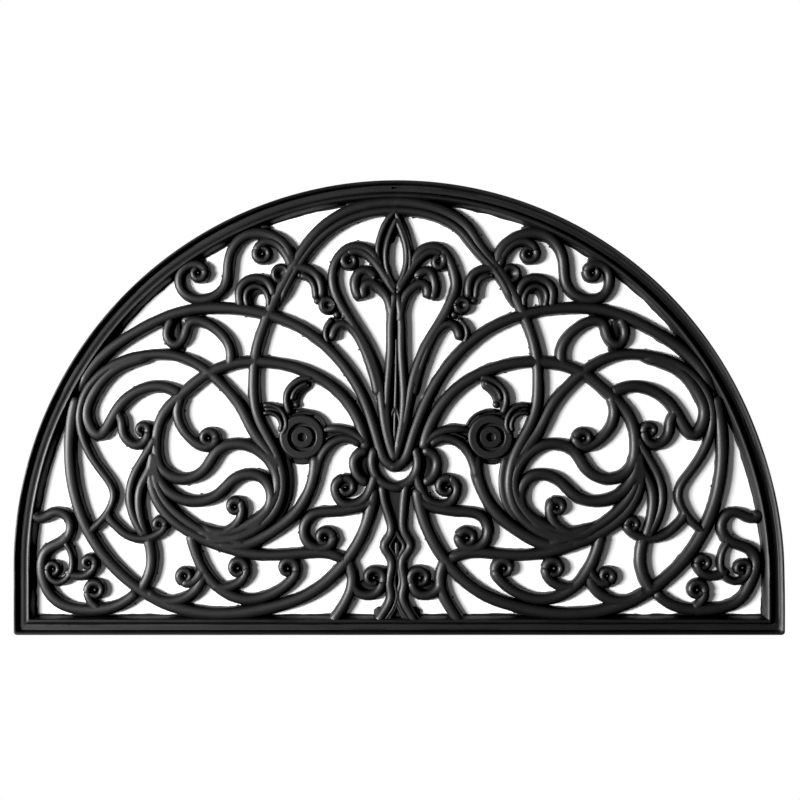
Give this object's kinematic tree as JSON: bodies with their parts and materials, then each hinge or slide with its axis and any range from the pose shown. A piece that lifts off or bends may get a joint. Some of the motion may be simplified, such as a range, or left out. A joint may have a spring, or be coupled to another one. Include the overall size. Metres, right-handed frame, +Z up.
{
  "type": "half moon doormat",
  "caption": "Moulded rubber doormat with a straight edge, a half-round arch, a ridged border and an open scrollwork grille with curled bars and round bosses.",
  "frame": {"origin": "Middle of the mat's box, on the surface that it lies on.", "axes": "+X along the straight edge, to the right seen from above; +Y from the straight edge towards the top of the arch; +Z up, through the mat's thickness."},
  "size_m": [0.75, 0.442, 0.0085],
  "materials": {
    "black_rubber": "moulded black rubber, satin, with fine dust and moulding specks"
  },
  "bodies": {
    "root": {"mat": "black_rubber"}
  },
  "joints": []
}
